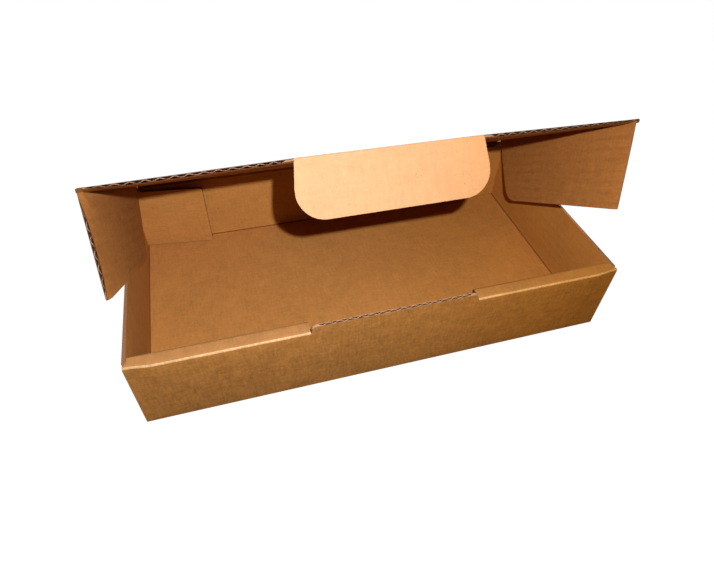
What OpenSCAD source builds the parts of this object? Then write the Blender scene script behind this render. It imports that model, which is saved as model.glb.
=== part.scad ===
// Corrugated mailer box: a tray with a rolled-over front wall and a lid with two side wings and a tuck tab.
// Millimetres. Origin at the centre of the tray's underside, X along the front, Y to the rear, Z up.
// Every panel is one board thick. The flutes run front to back in the flat blank, so they lie level in
// the lid, floor and side walls, stand upright in the front and rear walls, and open at the cut edges.

/* [Tray] */
// outside width, left to right
tray_width = 312; // [200:1:450]
// outside depth, front to rear
tray_depth = 168; // [120:1:300]
// height of the side walls and the rolled front wall
wall_height = 56.5; // [40:0.5:110]
// length of the two flaps that fold in from the side walls against the rear wall
rear_flap_length = 50.9; // [30:0.1:80]
// length of the two flaps caught inside the rolled front wall
front_flap_length = 50; // [30:0.5:80]
// how far the flaps stay below the wall's top edge
flap_drop = 2; // [1:0.1:6]

/* [Board] */
// thickness of the corrugated board
board = 2.1; // [1.8:0.1:4]
// thickness of each liner
liner = 0.35; // [0.25:0.05:0.5]
// thickness of the fluted medium
medium = 0.3; // [0.25:0.05:0.45]
// distance from one flute crest to the next
flute_pitch = 6.6; // [5:0.1:9]
// solid margin at each end of a row of open flutes
flute_margin = 1; // [0.5:0.1:3]
// how far the open flutes are modelled inwards from a cut edge
flute_depth = 13; // [8:1:20]
// outer radius of a fixed crease
crease_outer = 2.2; // [1:0.1:3]
// inner radius of a fixed crease
crease_inner = 1.2; // [0.2:0.1:2]
// inner radius of the two creases on the rolled front wall
crease_tight = 0.3; // [0.1:0.1:1]
// outer radius of a crease that opens and closes
crease_moving = 1.2; // [0.5:0.1:2]
// clearance between boards that lie against each other
play = 0.35; // [0.2:0.05:0.6]

/* [Front wall] */
// clearance between the three layers of the rolled front wall
wall_play = 0.9; // [0.3:0.05:1.2]
// width of the tongue that stands up in front of the tuck slot
lip_width = 106; // [60:1:180]
// height of the tongue above the wall's top
lip_height = 4.1; // [2:0.1:10]
// corner radius of the tongue
lip_corner = 4; // [1:0.5:4]
// clearance at each end of the tongue
lip_gap = 0.4; // [0.3:0.1:2]
// how far the tuck slot is cut down the inner panel
slot_drop = 6.6; // [4:0.1:12]
// width of each locking tab at the foot of the inner panel
lock_width = 36; // [20:1:60]
// distance between the centres of the two locking tabs
lock_spacing = 180; // [120:1:220]
// how far a locking tab ends short of the underside
lock_recess = 0.3; // [0.1:0.1:0.8]

/* [Lid] */
// width over the folded wings
lid_width = 300.4; // [190:0.2:440]
// gap between the side walls' top and the closed lid
lid_gap = 0.3; // [0.2:0.1:1]
// opening angle of the lid as shown, from closed
lid_angle = 33.7; // [18.5:0.1:180]
// depth of the wings, from the lid's outer face
wing_depth = 52.5; // [30:0.5:54]
// how far from the hinge a wing's slanted rear edge starts
wing_start = 6.4; // [3:0.1:15]
// slant of a wing's rear edge, measured from square
wing_slant = 29.6; // [10:0.1:40]
// radius of a wing's rear lower corner
wing_corner = 19; // [5:1:30]
// radius of a wing's front lower corner
wing_front_corner = 1; // [0.5:0.5:10]
// fold of the left wing as shown, 90 is square
left_wing_fold = 91.5; // [88:0.1:135]
// fold of the right wing as shown, 90 is square
right_wing_fold = 106.5; // [88:0.1:135]

/* [Tuck tab] */
// width of the tab at its fold
tab_width = 102.8; // [60:0.2:170]
// height of the tab, from the lid's outer face
tab_height = 32; // [15:0.5:45]
// flare of the tab's sides, which makes it widest at its ears so that it holds in the slot
tab_flare = 7.5; // [0:0.5:12]
// corner radius of the tab
tab_corner = 15; // [5:0.5:18]

/* [Rear flaps] */
// radius of a rear flap's free corners
flap_corner = 2; // [0.5:0.5:10]
// how far the left flap has sprung away from the rear wall
left_flap_swing = 6.7; // [0:0.1:50]
// how far the right flap has sprung away from the rear wall
right_flap_swing = 4.5; // [0:0.1:50]

/* [Hidden] */
kraft = [0.72, 0.53, 0.36];
kraft_light = [0.82, 0.66, 0.48];
// facets of a rounded corner and of a crease
facets = 5;
// the wedge that keeps a folded panel's end clear of the rounded edge that it folds from
crease_wedge = 3;
// overlap of pieces of one board that are joined
lap = 1;
// the front wall is three boards thick: outer panel, corner flap and inner panel
front_wall = 3 * board + 2 * wall_play;
front_face = -tray_depth / 2;
flap_face = front_face + board + wall_play;
inner_front = front_face + front_wall;
rear_face = tray_depth / 2;
// the corner that a rear flap turns about
rear_corner = rear_face - 2 * board - play;
side_inner = tray_width / 2 - board;
// the rolled panel fits between the side walls
roll_half = side_inner - play;
hinge_height = wall_height + lid_gap + board;
// the folded tab drops in just behind the outer panel
lid_length = tray_depth - board - play;
lid_half = lid_width / 2;
wing_corner_x = lid_half - board;
// a wing's rear edge at depth w below the lid's outer face
function wing_rear(w) = wing_start + w * tan(wing_slant);
// half the tab's width at its foot, before the corners are rounded
tab_foot = tab_width / 2 + tab_height * tan(tab_flare);

function unit(v) = v / norm(v);

// points of a rounded corner at b between a and c
function corner(a, b, c, r) = r <= 0 ? [b] :
  let (u = unit(a - b), v = unit(c - b), half = acos(u * v) / 2,
       centre = b + unit(u + v) * r / sin(half),
       from = b + u * r / tan(half) - centre, to = b + v * r / tan(half) - centre,
       start = atan2(from[1], from[0]),
       turn = (atan2(to[1], to[0]) - start + 540) % 360 - 180)
  [for (i = [0:facets]) centre + r * [cos(start + turn * i / facets), sin(start + turn * i / facets)]];

// a closed outline from [x, y, radius] corners
function outline(p) = let (n = len(p))
  [for (i = [0:n - 1]) each corner([p[(i + n - 1) % n][0], p[(i + n - 1) % n][1]], [p[i][0], p[i][1]],
                                   [p[(i + 1) % n][0], p[(i + 1) % n][1]], p[i][2])];

function arc(centre, r, from, to) =
  [for (i = [0:facets]) let (a = from + (to - from) * i / facets) centre + r * [cos(a), sin(a)]];

// the mitred end of a panel at a moving crease, from its outer face to its inner face,
// with the crease's corner at the origin, the panel along -a and its thickness along -b
function mitre() = concat(arc([-crease_moving, -crease_moving], crease_moving, 90, 45), [[-board, -board]]);
function flip(p) = [for (q = p) [q[1], q[0]]];
function shift(p, v) = [for (q = p) q + v];
function reversed(p) = [for (i = [len(p) - 1:-1:0]) p[i]];
function mirror_a(p) = [for (q = p) [-q[0], q[1]]];

// extrusions whose drawing plane is (y, z), (x, z) or (x, y)
module along_x(x0, x1) translate([x0, 0, 0]) rotate([90, 0, 90]) linear_extrude(x1 - x0) children();
module along_y(y0, y1) translate([0, y1, 0]) rotate([90, 0, 0]) linear_extrude(y1 - y0) children();
module along_z(z0, z1) translate([0, 0, z0]) linear_extrude(z1 - z0) children();
module both_sides() { children(); mirror([1, 0, 0]) children(); }

// openings of the flutes in a cut edge that runs from a0 to a1, through the board's thickness 0 to board
module flutes(a0, a1) {
  swing = (board - 2 * liner - medium) / 2;
  half = 0.42 * flute_pitch;
  count = floor((a1 - a0) / flute_pitch);
  first = (a0 + a1 - count * flute_pitch) / 2;
  if (count > 0) for (i = [0:2 * count - 2]) {
    up = i % 2 == 0 ? 1 : -1;
    middle = first + (i + 1) * flute_pitch / 2;
    translate([middle, board / 2]) polygon(concat(
      [[-half, up * (board / 2 - liner)]],
      [for (k = [-2:2]) let (a = k * half * 0.42)
        [a, up * (medium / 2 * 1.2 - swing * cos(360 * a / flute_pitch))]],
      [[half, up * (board / 2 - liner)]]));
  }
}

// floor, outer front panel and rear wall in one strip, with the two creases of the floor
module strip() along_x(-tray_width / 2, tray_width / 2)
  polygon(outline([
    [front_face, 0, crease_outer], [rear_face, 0, crease_outer], [rear_face, wall_height, 0],
    [rear_face - board, wall_height, 0], [rear_face - board, board, crease_inner],
    [front_face + board, board, crease_inner], [front_face + board, wall_height - crease_outer, 0],
    [front_face, wall_height - crease_outer, 0]]));

// the rear wall's top at the lid's hinge
module hinge_edge() along_x(-wing_corner_x, wing_corner_x)
  polygon(concat([[rear_face - board, wall_height - lap], [rear_face, wall_height - lap]],
    shift(flip(mitre()), [rear_face, hinge_height])));

// outer crease, spine, inner crease and inner panel of the rolled front wall
module roll() along_x(lip_width / 2 + lip_gap, roll_half)
  polygon(outline([
    [front_face, wall_height - crease_outer - lap, 0],
    [front_face + board, wall_height - crease_outer - lap, 0],
    [front_face + board, wall_height - board, crease_tight],
    [inner_front - board, wall_height - board, crease_tight],
    [inner_front - board, board + play, 0], [inner_front, board + play, 0],
    [inner_front, wall_height, crease_outer], [front_face, wall_height, crease_outer]]));

// the inner panel below the tuck slot, open at its top edge
module slot_panel() difference() {
  along_x(-lip_width / 2 - lip_gap - lap, lip_width / 2 + lip_gap + lap)
    translate([inner_front - board, board + play]) square([board, wall_height - slot_drop - board - play]);
  along_z(wall_height - slot_drop - flute_depth, wall_height - slot_drop + lap)
    translate([0, inner_front - board]) flutes(-lip_width / 2, lip_width / 2);
}

// the tongue in front of the tuck slot
module lip() difference() {
  along_y(front_face, front_face + board) polygon(outline([
    [-lip_width / 2, wall_height - crease_outer - flute_depth, 0],
    [lip_width / 2, wall_height - crease_outer - flute_depth, 0],
    [lip_width / 2, wall_height + lip_height, lip_corner],
    [-lip_width / 2, wall_height + lip_height, lip_corner]]));
  along_z(wall_height + lip_height - flute_depth, wall_height + lip_height + lap)
    translate([0, front_face]) flutes(-lip_width / 2 + lip_corner / 2, lip_width / 2 - lip_corner / 2);
}

// one locking tab of the inner panel, standing in its slot in the floor
module lock_tab() difference() {
  translate([lock_spacing / 2 - lock_width / 2, inner_front - board, lock_recess])
    cube([lock_width, board, board + play + lap - lock_recess]);
  along_z(lock_recess - lap, board) translate([lock_spacing / 2, inner_front - board])
    flutes(-lock_width / 2, lock_width / 2);
}

module lock_slot() translate([lock_spacing / 2 - lock_width / 2 - play, inner_front - board - play, -lap])
  cube([lock_width + 2 * play, board + 2 * play, board + 2 * lap]);

// where the flaps that fold in from a side wall start and end
flap_foot = board + flap_drop / 2;
front_flap_top = wall_height - board - flap_drop / 2;
rear_flap_top = wall_height - flap_drop;

// a side wall with its floor crease, its front corner flap and the rounded edge of its rear flap
module side_wall() {
  difference() {
    along_y(flap_face, rear_corner) polygon(outline([
      [side_inner - 3 * board, 0, 0], [tray_width / 2, 0, crease_outer], [tray_width / 2, wall_height, 0],
      [side_inner, wall_height, 0], [side_inner, board, crease_inner], [side_inner - 3 * board, board, 0]]));
    translate([side_inner - lap, flap_face - lap, flap_foot - play])
      cube([board + 2 * lap, crease_outer + lap, front_flap_top - flap_foot + 2 * play]);
  }
  along_z(flap_foot, front_flap_top) polygon(outline([
    [tray_width / 2, flap_face + crease_outer + lap, 0], [side_inner, flap_face + crease_outer + lap, 0],
    [side_inner, flap_face + board, crease_tight], [tray_width / 2 - front_flap_length, flap_face + board, 0],
    [tray_width / 2 - front_flap_length, flap_face, 0], [tray_width / 2, flap_face, crease_outer]]));
  along_z(flap_foot, rear_flap_top) polygon(outline([
    [side_inner, rear_corner - lap, 0], [tray_width / 2, rear_corner - lap, 0],
    [tray_width / 2, rear_corner + board, crease_moving],
    [side_inner + board * tan(crease_wedge), rear_corner + board, 0], [side_inner, rear_corner, 0]]));
}

// what the floor crease rounds off the strip's square side edges
module edge_round() along_y(flap_face, rear_face - board - play) polygon(concat(
  [[tray_width / 2 - crease_outer, -lap]],
  arc([tray_width / 2 - crease_outer, crease_outer], crease_outer, -90, 0),
  [[tray_width / 2 + lap, crease_outer], [tray_width / 2 + lap, -lap]]));

// the outer panel's top beyond the ends of the spine, creased over with it
module panel_end() along_x(roll_half - lap, tray_width / 2) polygon(outline([
  [front_face, wall_height - crease_outer - lap, 0],
  [front_face + board, wall_height - crease_outer - lap, 0],
  [front_face + board, wall_height, 0], [front_face, wall_height, crease_outer]]));

module tray() color(kraft) {
  difference() {
    union() {
      difference() {
        strip();
        both_sides() { edge_round(); lock_slot(); }
      }
      both_sides() side_wall();
      hinge_edge();
      both_sides() roll();
      both_sides() panel_end();
      slot_panel();
      both_sides() lock_tab();
    }
    along_z(wall_height + lip_height - flute_depth, wall_height)
      translate([0, front_face]) flutes(-lip_width / 2 + lip_corner / 2, lip_width / 2 - lip_corner / 2);
  }
  lip();
}

// the lid's place: built closed about the hinge at the origin, then turned open
module on_hinge() translate([0, rear_face, hinge_height]) rotate([-lid_angle, 0, 0]) children();

// the lid's cross-section, with the rounded edges that the wings fold from
module lid_section() polygon(outline([
  [-wing_corner_x, -board, 0], [wing_corner_x, -board, 0],
  [lid_half, -board + board * tan(crease_wedge), 0], [lid_half, 0, crease_moving],
  [-lid_half, 0, crease_moving], [-lid_half, -board + board * tan(crease_wedge), 0]]));

module lid() color(kraft) on_hinge() difference() {
  union() {
    along_y(-lid_length, -wing_rear(board)) lid_section();
    along_x(-wing_corner_x, wing_corner_x)
      polygon(concat(mitre(), [[-wing_rear(board) - lap, -board], [-wing_rear(board) - lap, 0]]));
  }
  along_x(-tab_width / 2 - play, tab_width / 2 + play) polygon(concat(
    shift(mirror_a(mitre()), [-lid_length, 0]),
    [[-lid_length + board, -board - lap], [-lid_length - lap, -board - lap], [-lid_length - lap, lap],
     [-lid_length + crease_moving, lap]]));
  both_sides() along_y(-lid_length - lap, -lid_length + flute_depth) translate([0, -board])
    flutes(tab_width / 2 + play + flute_margin, lid_half - flute_margin);
}

// a wing folded square, with its inner face at the corner that it turns about
module wing() difference() {
  along_x(wing_corner_x, lid_half) polygon(outline([
    [-lid_length, -board, 0], [-lid_length, -wing_depth, wing_front_corner],
    [-wing_rear(wing_depth), -wing_depth, wing_corner], [-wing_rear(board), -board, 0]]));
  along_y(-lid_length - lap, -lid_length + flute_depth) wing_flutes();
  along_y(-wing_rear(wing_depth) - flute_depth, 0) wing_flutes();
}

module wing_flutes() translate([wing_corner_x, -wing_depth]) flip_plane()
  flutes(flute_margin, wing_depth - board - flute_margin);
module flip_plane() multmatrix([[0, 1, 0, 0], [1, 0, 0, 0], [0, 0, -1, 0], [0, 0, 0, 1]]) children();

module turned_wing(fold) translate([wing_corner_x, 0, -board]) rotate([0, fold - 90, 0])
  translate([-wing_corner_x, 0, board]) wing();

module lid_wing_left() color(kraft) on_hinge() mirror([1, 0, 0]) turned_wing(left_wing_fold);
module lid_wing_right() color(kraft) on_hinge() turned_wing(right_wing_fold);

module tuck_tab() color(kraft_light) on_hinge() difference() {
  intersection() {
    along_y(-lid_length, -lid_length + board) polygon(outline([
      [-tab_width / 2, 0, 0], [tab_width / 2, 0, 0],
      [tab_foot, -tab_height, tab_corner], [-tab_foot, -tab_height, tab_corner]]));
    along_x(-tab_foot, tab_foot) polygon(concat(
      shift(mirror_a(flip(mitre())), [-lid_length, 0]),
      [[-lid_length + board, -tab_height], [-lid_length, -tab_height]]));
  }
  along_z(-tab_height - lap, -tab_height + 1.6 * flute_depth) translate([0, -lid_length])
    flutes(-tab_foot, tab_foot);
}

// a rear flap lying against the rear wall, along -x from the corner that it turns about
module rear_flap() difference() {
  along_y(rear_corner, rear_corner + board) polygon(outline([
    [side_inner, flap_foot, 0], [side_inner, rear_flap_top, 0],
    [side_inner - rear_flap_length, rear_flap_top, flap_corner],
    [side_inner - rear_flap_length, flap_foot, flap_corner]]));
  along_x(side_inner - rear_flap_length - lap, side_inner - rear_flap_length + flute_depth)
    translate([rear_corner, 0]) flip_plane() flutes(flap_foot, rear_flap_top);
}

module turned_flap(swing) translate([side_inner, rear_corner, 0]) rotate([0, 0, swing])
  translate([-side_inner, -rear_corner, 0]) rear_flap();

module rear_flap_left() color(kraft) mirror([1, 0, 0]) turned_flap(left_flap_swing);
module rear_flap_right() color(kraft) turned_flap(right_flap_swing);

tray();
lid();
lid_wing_left();
lid_wing_right();
tuck_tab();
rear_flap_left();
rear_flap_right();
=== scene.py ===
# Corrugated mailer box: kraft board panels with open flutes, lit by a small lamp beside the camera.
import math

import bmesh
import bpy
from mathutils import Matrix, Vector
from mathutils.bvhtree import BVHTree


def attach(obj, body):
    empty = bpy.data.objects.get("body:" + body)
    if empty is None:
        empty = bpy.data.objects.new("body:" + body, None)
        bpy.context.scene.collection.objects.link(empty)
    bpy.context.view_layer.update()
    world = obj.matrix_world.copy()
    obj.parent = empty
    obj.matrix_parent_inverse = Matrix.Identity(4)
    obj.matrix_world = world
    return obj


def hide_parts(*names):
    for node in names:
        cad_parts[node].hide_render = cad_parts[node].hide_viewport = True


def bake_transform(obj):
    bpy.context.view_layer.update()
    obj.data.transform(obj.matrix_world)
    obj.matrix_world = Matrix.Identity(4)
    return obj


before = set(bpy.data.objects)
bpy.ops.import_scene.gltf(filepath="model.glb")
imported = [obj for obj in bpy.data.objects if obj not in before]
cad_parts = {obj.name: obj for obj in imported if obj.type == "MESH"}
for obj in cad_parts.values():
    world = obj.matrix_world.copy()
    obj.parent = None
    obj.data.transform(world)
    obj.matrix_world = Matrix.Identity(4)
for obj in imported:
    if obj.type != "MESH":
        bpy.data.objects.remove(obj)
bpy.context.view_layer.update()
print("frame loaded", sorted(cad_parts))

scene = bpy.context.scene
scene.view_settings.view_transform = "Standard"
mm = 0.001

# the box as it was cut and folded, in millimetres and degrees
box = {
    "board": 2.1,
    "halfWidth": 156.0,
    "frontFace": -84.0,
    "rearFace": 84.0,
    "wallHeight": 56.5,
    "frontWall": 8.1,        # outer panel, flap and inner panel of the rolled front
    "hingeHeight": 58.9,
    "lidHalf": 150.2,
    "lidLength": 165.55,
    "lidAngle": 33.7,
    "leftWingFold": 91.5,
    "rightWingFold": 106.5,
    "leftFlapSwing": 6.7,
    "rightFlapSwing": 4.5,
    "flapGap": 0.35,         # between a rear flap's pivot and the rear wall
    "flutePitch": 6.6,
    "creaseRadius": 1.25,
}
board, wallTop, frontFace = box["board"], box["wallHeight"], box["frontFace"]
sideFace, lidLength = box["halfWidth"], box["lidLength"]
rollBack = frontFace + box["frontWall"]
right, rear, up = Vector((1, 0, 0)), Vector((0, 1, 0)), Vector((0, 0, 1))
hinge = Vector((0, box["rearFace"], box["hingeHeight"]))
tilt = math.radians(box["lidAngle"])
lidForward = Vector((0, -math.cos(tilt), math.sin(tilt)))
lidUp = Vector((0, math.sin(tilt), math.cos(tilt)))
tabCorner = hinge + lidForward * lidLength

view = {
    "place": (-0.085584, -0.275849, 0.295464),
    "sensor": 36,
    "lens": 26.6149,
    "shift": (-0.019550, -0.006248),
    "clip": (0.01, 20),
    "turn": ((0.956659, 0.174812, -0.232903),
             (-0.287908, 0.687865, -0.666297),
             (0.043730, 0.704474, 0.708382)),
}
cameraData = bpy.data.cameras.new("camera")
cameraData.sensor_width = view["sensor"]
cameraData.lens = view["lens"]
cameraData.shift_x, cameraData.shift_y = view["shift"]
cameraData.clip_start, cameraData.clip_end = view["clip"]
camera = bpy.data.objects.new("camera", cameraData)
camera.matrix_world = Matrix.Translation(view["place"]) @ Matrix(view["turn"]).to_4x4()
scene.collection.objects.link(camera)
scene.camera = camera
print("camera placed")


def group(name, inputs):
    # a tone turns its inputs into a colour and a height
    tree = bpy.data.node_groups.new(name, "ShaderNodeTree")
    for label, kind in inputs.items():
        tree.interface.new_socket(name=label, in_out="INPUT", socket_type="NodeSocket" + kind)
    for label, kind in (("Colour", "Color"), ("Height", "Float")):
        tree.interface.new_socket(name=label, in_out="OUTPUT", socket_type="NodeSocket" + kind)
    given, made = tree.nodes.new("NodeGroupInput"), tree.nodes.new("NodeGroupOutput")
    return tree, given.outputs, made.inputs


def node(tree, kind, settings=None, **sockets):
    # a socket is named, or numbered as i0, i1 and so on
    made = tree.nodes.new(kind)
    for key, value in (settings or {}).items():
        setattr(made, key, value)
    for key, value in sockets.items():
        socket = made.inputs[int(key[1:])] if key[0] == "i" and key[1:].isdigit() else made.inputs[key]
        if isinstance(value, bpy.types.NodeSocket):
            tree.links.new(value, socket)
        else:
            socket.default_value = value
    return made


def ramp(tree, value, low, high):
    settings = {"clamp": True, "interpolation_type": "SMOOTHSTEP"}
    made = node(tree, "ShaderNodeMapRange", settings, Value=value)
    made.inputs["From Min"].default_value = low
    made.inputs["From Max"].default_value = high
    return made.outputs["Result"]


def mathNode(tree, kind, a, b=0.0):
    return node(tree, "ShaderNodeMath", {"operation": kind}, i0=a, i1=b).outputs[0]


def times(tree, a, b):
    return mathNode(tree, "MULTIPLY", a, b)


def plus(tree, a, b):
    return mathNode(tree, "ADD", a, b)


def part(tree, vector, index):
    return node(tree, "ShaderNodeSeparateXYZ", i0=vector).outputs[index]


def mixColour(tree, fac, a, b, kind="MIX"):
    settings = {"data_type": "RGBA", "blend_type": kind}
    return node(tree, "ShaderNodeMix", settings, i0=fac, i6=a, i7=b).outputs[2]


def shaded(tree, colour, scale):
    return node(tree, "ShaderNodeVectorMath", {"operation": "SCALE"}, i0=colour, Scale=scale).outputs[0]


def pattern(tree, vector, look):
    # noise about zero where the look has a gain, and patches from 0 to 1 where it has limits
    if "stretch" in look:
        vector = node(tree, "ShaderNodeMapping", Vector=vector, Scale=look["stretch"]).outputs[0]
    noise = node(tree, "ShaderNodeTexNoise", Vector=vector, Scale=look.get("scale", 1.0),
                 Detail=look["detail"], Roughness=look["roughness"], Distortion=look.get("twist", 0.0))
    if "gain" in look:
        return times(tree, mathNode(tree, "SUBTRACT", noise.outputs["Fac"], 0.5), look["gain"])
    return ramp(tree, noise.outputs["Fac"], *look["limits"])


# the liner's patterns, laid along the sheet or filling space
pulp = {
    "wander": {"scale": 25, "detail": 1.0, "roughness": 0.55, "gain": 2.4},
    "drift": {"stretch": (9, 22, 1), "detail": 1.0, "roughness": 0.55, "limits": (0.3, 0.7)},
    "cloud": {"scale": 95, "detail": 4.0, "roughness": 0.65, "gain": 1.0},
    "broad": {"scale": 13, "detail": 2.0, "roughness": 0.5, "gain": 0.8},
    "fine": {"scale": 620, "detail": 3.0, "roughness": 0.7, "gain": 1.0},
    "streak": {"stretch": (700, 110, 1), "detail": 2.0, "roughness": 0.6, "gain": 0.8},
    "strand": {"stretch": (90, 520, 1), "detail": 2.0, "roughness": 0.6, "gain": 0.6},
    "speck": {"scale": 480, "detail": 1.0, "roughness": 0.5, "limits": (0.72, 0.77)},
    "hair": {"stretch": (1, 1.6, 0.7), "scale": 330, "detail": 2.0, "roughness": 0.6, "twist": 1.5,
             "limits": (0.70, 0.76)},
}
liner = {
    "crestPower": 2.5,
    # painted shade: the colour grows darker and more saturated across these limits
    "rightShadeLimits": (-0.04, 0.16),        # across the box, in metres
    "rightShadeTint": (0.95, 0.79, 0.41, 1),
    "speckShade": 0.62,
    "hairShade": 1.22,
    "fleckShare": 0.6,
    "fibreHeight": 0.3,
    "cloudHeight": 0.4,
    "ridgeHeight": 7.0,
}


def makeLinerTone():
    tree, given, made = group("linerTone", {
        "Vector": "Vector", "Sheet": "Vector", "Colour": "Color", "Mottle": "Float",
        "Fibre": "Float", "Washboard": "Float", "RightShading": "Float",
    })
    place, sheet = given["Vector"], given["Sheet"]
    # crests of the flutes showing through the liner, stronger in some places than in others
    turns = times(tree, part(tree, sheet, 0), 2 * math.pi / (box["flutePitch"] * mm))
    wave = mathNode(tree, "SINE", plus(tree, turns, pattern(tree, place, pulp["wander"])))
    crest = mathNode(tree, "POWER", times(tree, plus(tree, wave, 1.0), 0.5), liner["crestPower"])
    ridge = times(tree, times(tree, crest, given["Washboard"]), pattern(tree, sheet, pulp["drift"]))
    # cloudy pulp and fine fibres
    cloud = pattern(tree, place, pulp["cloud"])
    shade = times(tree, plus(tree, cloud, pattern(tree, place, pulp["broad"])), given["Mottle"])
    fibres = plus(tree, pattern(tree, place, pulp["fine"]), pattern(tree, sheet, pulp["streak"]))
    fibres = plus(tree, fibres, pattern(tree, sheet, pulp["strand"]))
    shade = plus(tree, shade, times(tree, fibres, given["Fibre"]))
    shade = plus(tree, mathNode(tree, "SUBTRACT", shade, ridge), 1.0)
    # painted shade: the colour grows darker and more saturated towards the box's right end, where the
    # lamp's light falls off
    rightward = ramp(tree, part(tree, place, 0), *liner["rightShadeLimits"])
    rightShadedColour = mixColour(tree, 1.0, given["Colour"], liner["rightShadeTint"], "MULTIPLY")
    base = mixColour(tree, times(tree, rightward, given["RightShading"]), given["Colour"], rightShadedColour)
    toned = shaded(tree, base, shade)
    # a few dark specks and pale hairs
    dark = shaded(tree, toned, liner["speckShade"])
    pale = shaded(tree, toned, liner["hairShade"])
    specks = times(tree, pattern(tree, place, pulp["speck"]), liner["fleckShare"])
    hairs = times(tree, pattern(tree, place, pulp["hair"]), liner["fleckShare"])
    flecked = mixColour(tree, hairs, mixColour(tree, specks, toned, dark), pale)
    tree.links.new(flecked, made["Colour"])
    height = plus(tree, times(tree, fibres, liner["fibreHeight"]), times(tree, cloud, liner["cloudHeight"]))
    height = mathNode(tree, "SUBTRACT", height, times(tree, ridge, liner["ridgeHeight"]))
    tree.links.new(height, made["Height"])
    return tree


# the cut through the board: where its three bands meet, as shares of its thickness, and how it frays
cut = {
    "middleStarts": (0.12, 0.34),
    "innerStarts": (0.52, 0.72),
    "rough": {"stretch": (1400, 500, 1), "detail": 3.0, "roughness": 0.6, "gain": 0.35},
    "fray": {"stretch": (900, 2600, 1), "detail": 2.0, "roughness": 0.7, "gain": 1.0},
    "frayGain": 3.0,
}


def makeCutTone():
    tree, given, made = group("cutTone", {
        "Sheet": "Vector", "Outer": "Color", "Middle": "Color", "Inner": "Color",
        "Board": "Float", "Fray": "Float",
    })
    # here the sheet runs along the cut, and down through the board
    sheet = given["Sheet"]
    depth = mathNode(tree, "DIVIDE", part(tree, sheet, 1), given["Board"])
    level = plus(tree, depth, pattern(tree, sheet, cut["rough"]))
    upper = mixColour(tree, ramp(tree, level, *cut["middleStarts"]), given["Outer"], given["Middle"])
    bands = mixColour(tree, ramp(tree, level, *cut["innerStarts"]), upper, given["Inner"])
    fray = pattern(tree, sheet, cut["fray"])
    shade = plus(tree, times(tree, fray, times(tree, given["Fray"], cut["frayGain"])), 1.0)
    tree.links.new(shaded(tree, bands, shade), made["Colour"])
    tree.links.new(fray, made["Height"])
    return tree


linerTone = makeLinerTone()
cutTone = makeCutTone()
bumpReach = 0.0002


def toneMaterial(name, toneTree, values, bumpiness, roughness, sheen):
    made = bpy.data.materials.new(name)
    made.use_nodes = True
    tree = made.node_tree
    shader = tree.nodes["Principled BSDF"]
    tone = tree.nodes.new("ShaderNodeGroup")
    tone.node_tree = toneTree
    tree.links.new(node(tree, "ShaderNodeUVMap", {"uv_map": "sheet"}).outputs[0], tone.inputs["Sheet"])
    if "Vector" in tone.inputs:
        tree.links.new(node(tree, "ShaderNodeTexCoord").outputs["Object"], tone.inputs["Vector"])
    for label, value in values.items():
        tone.inputs[label].default_value = value
    tree.links.new(tone.outputs["Colour"], shader.inputs["Base Color"])
    bump = node(tree, "ShaderNodeBump", Strength=bumpiness, Distance=bumpReach,
                Height=tone.outputs["Height"])
    tree.links.new(bump.outputs[0], shader.inputs["Normal"])
    shader.inputs["Roughness"].default_value = roughness
    shader.inputs["Specular IOR Level"].default_value = sheen
    return made


def cutMaterial(name, outer, middle, inner, fray):
    values = {"Outer": (*outer, 1), "Middle": (*middle, 1), "Inner": (*inner, 1),
              "Board": board * mm, "Fray": fray}
    return toneMaterial(name, cutTone, values, bumpiness=0.5, roughness=0.9, sheen=0.1)


def kraftMaterial(name, colour, mottle, fibre, washboard, rightShading, roughness=0.85, sheen=0.05):
    values = {"Colour": (*colour, 1), "Mottle": mottle, "Fibre": fibre,
              "Washboard": washboard, "RightShading": rightShading}
    return toneMaterial(name, linerTone, values, bumpiness=0.25, roughness=roughness, sheen=sheen)


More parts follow.
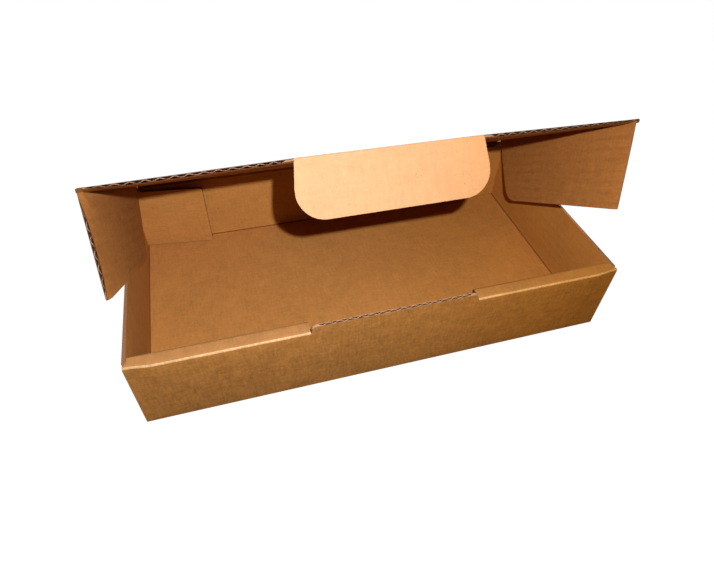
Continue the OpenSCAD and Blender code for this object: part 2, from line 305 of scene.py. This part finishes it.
kraft = {
    "outer": {"name": "kraftOuter", "colour": (0.345, 0.157, 0.044),
              "mottle": 0.55, "fibre": 0.80, "washboard": 0.03, "rightShading": 1.0},
    "inner": {"name": "kraftInner", "colour": (0.445, 0.207, 0.063),
              "mottle": 0.30, "fibre": 0.38, "washboard": 0.02, "rightShading": 0.5},
    "fold": {"name": "spineTop", "colour": (0.34, 0.17, 0.065),
             "mottle": 0.35, "fibre": 0.35, "washboard": 0.0, "rightShading": 1.0, "roughness": 0.8},
    # where the front fold's liner is stretched and rubbed, shinier through its lower roughness and its
    # sheen; its paler colour is a painted highlight along the fold
    "foldHighlight": {"name": "rubbedFoldPaintedHighlight", "colour": (0.50, 0.32, 0.175),
                "mottle": 0.6, "fibre": 0.9, "washboard": 0.0, "rightShading": 1.0,
                "roughness": 0.5, "sheen": 0.3},
    # the dented line of a crease, painted dark as the shade in its groove
    "paintedCreaseShade": {"name": "creaseShadeLine", "colour": (0.20, 0.07, 0.02),
              "mottle": 0.3, "fibre": 0.2, "washboard": 0.0, "rightShading": 0.4},
    # three cuts through the board, from the outer liner to the inner one; the common cut's dark outer and
    # inner bands are painted shade
    "edge": {"name": "cutEdge", "outer": (0.10, 0.06, 0.045), "middle": (0.25, 0.155, 0.11),
             "inner": (0.09, 0.027, 0.008), "fray": 0.5},
    # a paler cut, for the tongue's top edge and the slot's corners
    "pale": {"name": "paleCutEdge", "outer": (0.30, 0.17, 0.10), "middle": (0.45, 0.30, 0.23),
             "inner": (0.40, 0.22, 0.12), "fray": 0.45},
    "rim": {"name": "rimEdge", "outer": (0.20, 0.10, 0.055), "middle": (0.36, 0.175, 0.09),
            "inner": (0.36, 0.165, 0.07), "fray": 0.4},
    # the fluting paper in the open flutes and at the crease bands' ends: its own brown, painted much darker
    # as the shade inside the flutes
    "medium": {"name": "flutedMediumPaintedShade", "colour": (0.10, 0.045, 0.022),
               "mottle": 0.3, "fibre": 0.4, "washboard": 0.0, "rightShading": 0.5, "roughness": 0.9},
    # the tuck tab's outer face: a paler copy of the outer liner, painted as the tab looks in strong light
    # close to the lamp
    "tab": {"name": "tabLinerPaintedLight", "colour": (0.48, 0.27, 0.155),
            "mottle": 0.18, "fibre": 0.25, "washboard": 0.03, "rightShading": 0.9},
    "side": {"name": "kraftSide", "colour": (0.445, 0.207, 0.063),
             "mottle": 0.22, "fibre": 0.30, "washboard": 0.05, "rightShading": 0.5},
    "wing": {"name": "kraftWing", "colour": (0.355, 0.151, 0.046),
             "mottle": 0.24, "fibre": 0.52, "washboard": 0.10, "rightShading": 0.2},
}
kinds = list(kraft)
cutKinds = [kind for kind in kinds if "fray" in kraft[kind]]
finishes = [(cutMaterial if kind in cutKinds else kraftMaterial)(**kraft[kind]) for kind in kinds]
print("materials made")

# distances for work on the meshes, in metres
fine = {
    "weld": 2e-6,
    "cut": 1e-6,
    "lift": 2e-5,
    "flute": 0.003,      # a face with another one nearer than this in front of it lies in a flute
}
# how far a unit normal has to lean one way to count as facing it
facing = {"least": 0.1, "tabFace": 0.35, "half": 0.5, "face": 0.6, "end": 0.7, "square": 0.9}


def sheetCopy(nodeName):
    form = bmesh.new()
    form.from_mesh(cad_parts[nodeName].data)
    bmesh.ops.remove_doubles(form, verts=form.verts, dist=fine["weld"])
    return form


def cutAt(form, normal, places, start=Vector((0, 0, 0))):
    for place in places:
        bmesh.ops.bisect_plane(form, geom=form.verts[:] + form.edges[:] + form.faces[:], dist=fine["cut"],
                               plane_co=(start + normal * place) * mm, plane_no=normal)


def mirrored(places):
    return [side * place for side in (-1, 1) for place in places]


def sortFaces(form, kindOf, sheetOf, depthOf):
    form.normal_update()
    tree = BVHTree.FromBMesh(form)
    sheet = form.loops.layers.uv.new("sheet")
    for face in form.faces:
        centre, normal = face.calc_center_median(), face.normal
        # a face with another face close in front of it lies in a flute and takes the fluting paper's
        # painted shade
        hit = tree.ray_cast(centre + normal * fine["lift"], normal, fine["flute"])
        kind = "medium" if hit[0] is not None else kindOf(centre / mm, normal)
        face.material_index = kinds.index(kind)
        for loop in face.loops:
            along, other = sheetOf(loop.vert.co, normal)
            # on a cut edge the sheet's second coordinate is the depth below the outer face
            if kind in cutKinds:
                along, other = along + other, depthOf(loop.vert.co / mm) * mm
            loop[sheet].uv = (along, other)


def bendBy(form, move):
    for vert in form.verts:
        vert.co += Vector(move(vert.co / mm)) * mm


def finishPiece(form, name, body, replaced=None, sharp=32):
    mesh = bpy.data.meshes.new(name)
    form.to_mesh(mesh)
    form.free()
    if "custom_normal" in mesh.attributes:      # normals of the loose CAD triangles
        mesh.attributes.remove(mesh.attributes["custom_normal"])
    for finish in finishes:
        mesh.materials.append(finish)
    for polygon in mesh.polygons:
        polygon.use_smooth = True
    mesh.set_sharp_from_angle(angle=math.radians(sharp))
    piece = bpy.data.objects.new(name, mesh)
    scene.collection.objects.link(piece)
    if body:
        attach(piece, body)
    if replaced:
        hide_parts(replaced)
    return piece


def smooth(value, low, high):
    t = min(max((value - low) / (high - low), 0), 1)
    return t * t * (3 - 2 * t)


# how the tray's walls have sprung since it was folded, and the limits that its faces are sorted by
tray = {
    "frontBulge": 1.2,      # top of the front wall, outwards
    "foldDrop": 0.5,
    "bulgeStart": 2,
    "bulgeEnd": 16,
    "bulgeSkin": 0.5,
    "dropDepth": 6,
    "sidePinch": 1.3,       # the side walls' cut top edges, pressed thin from outside
    "pinchDepth": 5.5,
    "spineReach": 2.35,     # the fold's ends, spread out over the side walls' front edges
    "spineEnd": (153, 153.8),
    "spineLevel": 54,
    "spineDepth": 2.5,
    "spineFade": 1.4,
    "tongueHalf": 53.2,
    "slotHalf": 54,
    "underside": 1,
    "floorTop": 5,
    "lowCrease": 8,
    "highCrease": 50,
    "foldBand": 3,
    "foldSlope": 0.8,
    "slack": 0.3,           # how far off a plane a face may lie and still belong to it
    "wallSlack": 0.2,
    "rollSlack": 0.5,
    "noOuterFace": 9,
    "cutsAcross": mirrored((60, 80, 100, 120, 132, 138, 142, 146, 149, 152)) + [-40, -20, 0, 20, 40],
    "cutsUp": (12, 24, 36, 46, 51),
}


def trayKind(c, n):
    across, slack, square = abs(c.x), tray["slack"], facing["square"]
    inRoll = c.y < rollBack + tray["rollSlack"]
    if abs(n.z) > square:
        if n.z < 0:
            return "outer" if c.z < tray["underside"] else "inner"
        if c.z < tray["floorTop"]:
            return "inner"
        onSpine = across < sideFace - board and inRoll and abs(c.z - wallTop) < slack
        if onSpine and across > tray["tongueHalf"]:
            return "fold"
        return "pale" if across < tray["slotHalf"] and inRoll else "rim"
    if abs(n.y) > square:
        if n.y < 0:
            return "outer" if c.y < frontFace + slack else "inner"
        return "outer" if c.y > box["rearFace"] - slack or abs(c.y - rollBack) < slack else "inner"
    if abs(n.x) > square:
        if across > sideFace - slack:
            return "outer"
        return "side" if abs(across - sideFace + board) < tray["wallSlack"] and n.x * c.x < 0 else "edge"
    # what is left is slanted or round: the slot's corners, the creases and the rolled fold
    atTop = c.z > tray["highCrease"]
    if across < tray["slotHalf"] and atTop and abs(n.y) < facing["half"] and inRoll:
        return "pale"
    if abs(n.x) < facing["least"] and atTop:
        if c.y > 0:
            return "outer"
        # painted highlight: the lower facets of the fold's front arc get the paler fold colour
        return "foldHighlight" if c.y < frontFace + tray["foldBand"] and n.z < tray["foldSlope"] else "fold"
    # painted shade: the round inner faces where the floor meets the walls are painted dark
    if c.z < tray["lowCrease"] and abs(n.z) > facing["least"]:
        return "outer" if n.z < 0 else "paintedCreaseShade"
    return "inner" if n.x * c.x < 0 else "outer"


def traySheet(co, n):
    if abs(n.x) > facing["end"]:
        return co.z, co.y
    return (co.x, co.z) if abs(n.y) > facing["end"] else (co.x, co.y)


def trayDepth(c):
    # below the outer face of the wall that a cut edge belongs to
    if c.y < rollBack + tray["wallSlack"] and abs(c.x) < sideFace - board:
        if c.y < frontFace + tray["foldBand"]:
            below = abs(wallTop - c.z) if abs(c.x) > tray["tongueHalf"] else tray["noOuterFace"]
            return min(c.y - frontFace, below)
        return wallTop - c.z if c.z > wallTop - tray["foldBand"] else rollBack - c.y
    return sideFace - abs(c.x)


def trayMove(c):
    if c.y > rollBack + tray["wallSlack"]:
        out = max(abs(c.x) - sideFace + board, 0) / board
        pinch = tray["sidePinch"] * out * smooth(c.z, wallTop - tray["pinchDepth"], wallTop)
        return -math.copysign(pinch, c.x), 0, 0
    low, high = tray["spineEnd"]
    if low < abs(c.x) < high and c.z > tray["spineLevel"]:
        spread = tray["spineReach"] * smooth(frontFace + tray["spineDepth"] - c.y, 0, tray["spineFade"])
        return math.copysign(spread, c.x), 0, 0
    start = smooth(sideFace - abs(c.x), tray["bulgeStart"], tray["bulgeEnd"])
    depth = 1 - smooth(c.y - frontFace, tray["bulgeSkin"], box["frontWall"])
    rise = smooth(c.z, 0, wallTop)
    top = smooth(c.z, wallTop - tray["dropDepth"], wallTop)
    return 0, -tray["frontBulge"] * start * depth * rise, -tray["foldDrop"] * start * depth * top


form = sheetCopy("tray")
cutAt(form, right, tray["cutsAcross"])
cutAt(form, up, tray["cutsUp"])
sortFaces(form, trayKind, traySheet, trayDepth)
bendBy(form, trayMove)
finishPiece(form, "trayShell", "tray", "tray")
print("tray made")

# the lid is bowed up between its corners, in three straight runs that meet at the tab's ends
lid = {
    "bowLeft": 0.15,
    "bowMiddle": 1.6,
    "bowRight": -0.15,
    "bowLimit": 1.02,
    "runEnd": 51.5,
    "pinchLeft": 1.2,       # the front edge's ends, pressed thin from below
    "pinchRight": 1.1,
    "pinchRun": 6,
    "pinchAcrossLeft": (124, 150),
    "pinchAcrossRight": (96, 150),
    "foldWidth": 1.5,
    "foldSlope": 0.3,
    "cutsAcross": sorted(mirrored((25, 49, 51.5, 54, 60, 70, 80, 90, 100, 110, 120, 130, 140)) + [0]),
    "cutsAlong": (6, 12, 30, 60, 90, 120, 150, 160),
}


def lidRun(c):
    return (c - hinge).dot(lidForward)


def lidRise(c):
    return (c - hinge).dot(lidUp)


def lidBow(x):
    if x < -lid["runEnd"]:
        t = (x + box["lidHalf"]) / (box["lidHalf"] - lid["runEnd"])
        return lid["bowLeft"] + (lid["bowMiddle"] - lid["bowLeft"]) * t
    if x > lid["runEnd"]:
        t = (x - lid["runEnd"]) / (box["lidHalf"] - lid["runEnd"])
        return lid["bowMiddle"] + (lid["bowRight"] - lid["bowMiddle"]) * t
    return lid["bowMiddle"]


def nearFront(c):
    return smooth(lidRun(c), lidLength - lid["pinchRun"], lidLength)


def lidMove(c):
    high = min(max(1 + lidRise(c) / board, 0), 1)
    pinch = (lid["pinchRight"] * smooth(c.x, *lid["pinchAcrossRight"])
             + lid["pinchLeft"] * smooth(-c.x, *lid["pinchAcrossLeft"])) * (1 - high) * nearFront(c)
    bow = lidBow(c.x) * min(max(lidRun(c) / lidLength, 0), lid["bowLimit"])
    return lidUp * (bow + pinch)


def panelKinds(normal, face="outer", back="inner"):
    def kindOf(c, n):
        lean = n.dot(normal)
        return face if lean > facing["face"] else back if lean < -facing["face"] else "edge"
    return kindOf


def panelSheet(across, along):
    return lambda co, n: (co.dot(across), co.dot(along))


def lidKind(c, n):
    if abs(n.x) > lid["foldSlope"] and abs(c.x) > box["lidHalf"] - lid["foldWidth"]:
        return "outer"
    return panelKinds(lidUp)(c, n)


form = sheetCopy("lid")
cutAt(form, right, lid["cutsAcross"])
cutAt(form, lidForward, lid["cutsAlong"], hinge)
sortFaces(form, lidKind, panelSheet(right, lidForward), lambda c: -lidRise(c))
bendBy(form, lidMove)
finishPiece(form, "lidPanel", "lid", "lid")

# the tab's round corners, given more steps
tab = {
    "cornerRadius": 15,
    "cornerAcross": 38.51,
    "cornerDrop": 17,
    "cornerSlack": 0.05,
    "steps": 3,
    "shortestStep": 0.8,
    "chordRadius": 14.6,    # new points on the corner's chords lie between this and its radius
    "cuts": (-49, -25, 0, 25, 49),
}
form = sheetCopy("tuck_tab")
for side in (-1, 1):
    middle = tabCorner - lidUp * tab["cornerDrop"] + right * (side * tab["cornerAcross"])

    def fromMiddle(vert):
        gap = vert.co / mm - middle
        return gap - lidForward * gap.dot(lidForward)

    def onCorner(edge):
        first, second = (fromMiddle(vert) for vert in edge.verts)
        onRim = all(abs(gap.length - tab["cornerRadius"]) < tab["cornerSlack"] for gap in (first, second))
        return onRim and (first - second).length > tab["shortestStep"]

    rim = [edge for edge in form.edges if onCorner(edge)]
    bmesh.ops.subdivide_edges(form, edges=rim, cuts=tab["steps"] - 1, use_grid_fill=True)
    for vert in form.verts:
        gap = fromMiddle(vert)
        onChord = tab["chordRadius"] < gap.length < tab["cornerRadius"]
        if onChord and gap.x * side > 0 and gap.dot(lidUp) < 0:
            vert.co += gap * (tab["cornerRadius"] / gap.length - 1) * mm
cutAt(form, right, tab["cuts"])
# the tab's outer face takes the paler tab colour, which is painted light
sortFaces(form, panelKinds(lidForward, "tab", "inner"), panelSheet(right, lidUp),
          lambda c: lidLength - lidRun(c))
bendBy(form, lambda c: lidUp * lidBow(c.x))
finishPiece(form, "tuckTab", "tuck_tab", "tuck_tab")

# how thin each wing's front edge has worn: from outside all along, and from inside at its top and foot
wear = {
    "left": {"outside": 0.2, "insideTop": 1.6, "insideFoot": 1.1, "lift": 1.6},
    "right": {"outside": 1.7, "insideTop": 0.0, "insideFoot": 0.0, "lift": 1.1},
    "topFade": (2, 18),
    "footFade": (36, 52),
    "liftFade": (0, 16),
    "cutsDown": (4, 12, 26, 40, 48),
}
wings = ((-1, "left", box["leftWingFold"]), (1, "right", box["rightWingFold"]))


def wingAxes(side, fold):
    turn = math.radians(fold - 90)
    outward = right * (side * math.cos(turn)) - lidUp * math.sin(turn)
    down = -lidUp * math.cos(turn) - right * (side * math.sin(turn))
    pivot = hinge + right * (side * (box["lidHalf"] - board)) - lidUp * board
    return turn, outward, down, pivot


for side, name, fold in wings:
    turn, outward, down, pivot = wingAxes(side, fold)
    form = sheetCopy("lid_wing_" + name)
    cutAt(form, lidForward, (lidLength - lid["pinchRun"], lidLength - lid["pinchRun"] / 2), hinge)
    cutAt(form, down, wear["cutsDown"], pivot)
    sortFaces(form, panelKinds(outward, "outer", "wing"), panelSheet(down, lidForward),
              lambda c: board - (c - pivot).dot(outward))

    def wingMove(c):
        out = min(max((c - pivot).dot(outward) / board, 0), 1)
        drop, worn = (c - pivot).dot(down), wear[name]
        inside = (worn["insideTop"] * (1 - smooth(drop, *wear["topFade"]))
                  + worn["insideFoot"] * smooth(drop, *wear["footFade"]))
        push = (1 - out) * inside - out * worn["outside"]
        lift = worn["lift"] * (1 - smooth(drop, *wear["liftFade"]))
        return nearFront(c) * (outward * push + lidUp * lift)

    bendBy(form, wingMove)
    finishPiece(form, name + "Wing", "lid_wing_" + name, "lid_wing_" + name)
print("lid made")

for side, name, swing in ((-1, "left", box["leftFlapSwing"]), (1, "right", box["rightFlapSwing"])):
    turn = math.radians(swing)
    outward = Vector((side * math.sin(turn), math.cos(turn), 0))
    along = Vector((-side * math.cos(turn), math.sin(turn), 0))
    form = sheetCopy("rear_flap_" + name)
    pivot = Vector((side * (sideFace - board), box["rearFace"] - 2 * board - box["flapGap"], 0))
    sortFaces(form, panelKinds(outward, "outer", "inner"), panelSheet(up, along),
              lambda c: board - (c - pivot).dot(outward))
    finishPiece(form, name + "RearFlap", "rear_flap_" + name, "rear_flap_" + name)
print("rear flaps made")

# the liner that runs on over each moving fold, from one panel to the next
crease = {
    "proud": 0.07,
    "reach": 3.2,
    "steps": 8,
    "skin": 0.55,
    "hold": 2.6,            # from here on, a band rides on one panel alone
    "wingHold": 2.4,
    "bead": 0.25,           # the dented inner liner at the lid's hinge
    "beadInset": 0.2,
    "hingeCuts": range(-140, 141, 20),
    "tabHalf": 51.2,
    "tabSkin": 0.6,         # as a share of the board
    "wingStart": 7.7,
    "sharp": 60,
}


def arcPoints(corner, towardA, towardB, normalA, normalB):
    # points from panel A round the fold to panel B, on the outer faces
    radius, proud = box["creaseRadius"], crease["proud"]
    turn = towardA.angle(-towardB)
    centre = corner + towardA * (radius * math.tan(turn / 2)) - normalA * radius
    points = [corner + towardA * crease["reach"] + normalA * proud]
    for step in range(crease["steps"] + 1):
        points.append(centre + normalA.slerp(normalB, step / crease["steps"]) * (radius + proud))
    points.append(corner + towardB * crease["reach"] + normalB * proud)
    return points


def creaseBand(name, outline, start, axis, length, kindsAt, move, cuts=()):
    form = bmesh.new()
    verts = [form.verts.new((point + axis * start) * mm) for point in outline]
    grown = bmesh.ops.extrude_face_region(form, geom=[form.faces.new(verts)])
    bmesh.ops.translate(form, vec=axis * length * mm,
                        verts=[v for v in grown["geom"] if isinstance(v, bmesh.types.BMVert)])
    bmesh.ops.recalc_face_normals(form, faces=form.faces)
    cutAt(form, axis, cuts)
    form.normal_update()
    sheet = form.loops.layers.uv.new("sheet")
    for face in form.faces:
        face.material_index = kinds.index(kindsAt(face.calc_center_median() / mm, face.normal))
        for loop in face.loops:
            loop[sheet].uv = (loop.vert.co.dot(axis), loop.vert.co.z)
    bendBy(form, move)
    piece = finishPiece(form, name, None, None, crease["sharp"])
    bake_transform(piece)


reach, hold, end = crease["reach"], crease["hold"], facing["end"]

# lid hinge: outer liner round the corner, inner liner dented into a small bead, which is painted dark as
# the shade in the hinge
wallInner = hinge - up * board - rear * board
lidInner = hinge + lidForward * board - lidUp * board
innerPath = [hinge + lidForward * reach - lidUp * (board + crease["proud"]),
             lidInner - lidUp * crease["bead"] + lidForward * crease["beadInset"],
             (wallInner + lidInner) / 2 - (rear + lidUp) * crease["bead"],
             wallInner - rear * crease["bead"] - up * crease["beadInset"],
             hinge - up * reach - rear * (board + crease["proud"])]
lidEdge = box["lidHalf"] - board
creaseBand("hingeCrease", arcPoints(hinge, -up, lidForward, rear, lidUp) + innerPath,
           -lidEdge, right, 2 * lidEdge,
           lambda c, n: ("medium" if abs(n.x) > end
                         else "outer" if n.y > 0 or n.z > facing["face"] else "paintedCreaseShade"),
           lidMove, crease["hingeCuts"])

# tuck tab: its fold is on the lid's front edge
tabSkin, tabHalf = board * crease["tabSkin"], crease["tabHalf"]
innerPath = [tabCorner - lidUp * reach - lidForward * tabSkin,
             tabCorner - lidForward * reach - lidUp * tabSkin]
# the band's faces that turn to the front take the tab's painted light
creaseBand("tabCrease", arcPoints(tabCorner, -lidForward, -lidUp, lidUp, lidForward) + innerPath,
           -tabHalf, right, 2 * tabHalf,
           lambda c, n: ("medium" if abs(n.x) > end
                         else "tab" if n.dot(lidForward) > facing["tabFace"] else "outer"),
           lambda c: lidUp * lidBow(c.x))

# the two wing folds
for side, name, fold in wings:
    turn, outward, down, pivot = wingAxes(side, fold)
    inward, skin, start = right * -side, crease["skin"], crease["wingStart"]
    # where the wing's outer face meets the lid's outer face
    corner = pivot + outward * board - down * (board * (1 + math.sin(turn)) / math.cos(turn))
    corner = corner - lidUp * lidRise(corner)
    innerPath = [corner + down * reach - outward * skin, corner + inward * reach - lidUp * skin]
    creaseBand(name + "WingCrease", arcPoints(corner, inward, down, lidUp, outward) + innerPath,
               start, lidForward, lidLength - start,
               lambda c, n: "medium" if abs(n.dot(lidForward)) > end else "outer",
               lidMove, [hinge.dot(lidForward) + lidLength - lid["pinchRun"] / share for share in (1, 2)])
print("creases made")

studio = {
    "lampPlace": (-0.0552, -0.2667, 0.3113),
    "lampPower": 7.25,
    "lampRadius": 0.0028,
    "lampColour": (1.0, 0.93, 0.82),
    "fill": 0.032,
    "fillColour": (1.0, 0.72, 0.52, 1),
    "rearFill": 2.4,         # from behind, where the lid and the walls keep it off the inside
    "rearColour": (1.0, 0.95, 0.88, 1),
    "rearLimits": (0.10, 0.75),
    "skySlope": 1.3,         # more of the rear fill from above, and least from below
    "skyLevel": 0.4,
    "skyLeast": 0.2,
    "floorSize": 3.0,
    "floorColour": (0.85, 0.85, 0.85, 1),
    "floorGlow": 1.03,
    "floorShade": 0.05,
    "floorBounce": (0.06, 0.05, 0.04, 1),
}
white = (1, 1, 1, 1)
floorForm = bmesh.new()
bmesh.ops.create_grid(floorForm, x_segments=1, y_segments=1, size=studio["floorSize"])
floorMesh = bpy.data.meshes.new("floor")
floorForm.to_mesh(floorMesh)
floorForm.free()
floor = bpy.data.objects.new("floor", floorMesh)
scene.collection.objects.link(floor)
floorPaint = bpy.data.materials.new("paleFloor")
floorPaint.use_nodes = True
tree = floorPaint.node_tree
tree.nodes.remove(tree.nodes["Principled BSDF"])
ray = node(tree, "ShaderNodeLightPath")
seen = mathNode(tree, "MAXIMUM", ray.outputs["Is Camera Ray"], ray.outputs["Is Glossy Ray"])
matt = node(tree, "ShaderNodeBsdfDiffuse", Color=studio["floorColour"])
bounce = node(tree, "ShaderNodeBsdfDiffuse", Color=studio["floorBounce"])
glow = node(tree, "ShaderNodeEmission", Color=white, Strength=studio["floorGlow"])
shown = node(tree, "ShaderNodeMixShader",
             i0=1 - studio["floorShade"], i1=matt.outputs[0], i2=glow.outputs[0])
mixed = node(tree, "ShaderNodeMixShader", i0=seen, i1=bounce.outputs[0], i2=shown.outputs[0])
tree.links.new(mixed.outputs[0], tree.nodes["Material Output"].inputs["Surface"])
floorMesh.materials.append(floorPaint)

world = bpy.data.worlds.new("studio")
scene.world = world
world.use_nodes = True
tree = world.node_tree
backdrop = tree.nodes["Background"]
heading = node(tree, "ShaderNodeTexCoord").outputs["Generated"]
behind = ramp(tree, part(tree, heading, 1), *studio["rearLimits"])
above = plus(tree, times(tree, part(tree, heading, 2), studio["skySlope"]), studio["skyLevel"])
above = mathNode(tree, "MAXIMUM", above, studio["skyLeast"])
rearLight = times(tree, times(tree, behind, above), studio["rearFill"])
tree.links.new(plus(tree, rearLight, studio["fill"]), backdrop.inputs["Strength"])
skyColour = mixColour(tree, behind, studio["fillColour"], studio["rearColour"])
tree.links.new(skyColour, backdrop.inputs["Color"])
glow = node(tree, "ShaderNodeBackground", Color=white, Strength=1.0)
ray = node(tree, "ShaderNodeLightPath")
seen = mathNode(tree, "MAXIMUM", ray.outputs["Is Glossy Ray"], ray.outputs["Is Transmission Ray"])
seen = mathNode(tree, "MAXIMUM", ray.outputs["Is Camera Ray"], seen)
mixed = node(tree, "ShaderNodeMixShader", i0=seen, i1=backdrop.outputs[0], i2=glow.outputs[0])
tree.links.new(mixed.outputs[0], tree.nodes["World Output"].inputs["Surface"])

lampData = bpy.data.lights.new("keyLamp", "POINT")
lampData.energy = studio["lampPower"]
lampData.color = studio["lampColour"]
lampData.shadow_soft_size = studio["lampRadius"]
lamp = bpy.data.objects.new("keyLamp", lampData)
lamp.location = studio["lampPlace"]
scene.collection.objects.link(lamp)
print("studio lit")
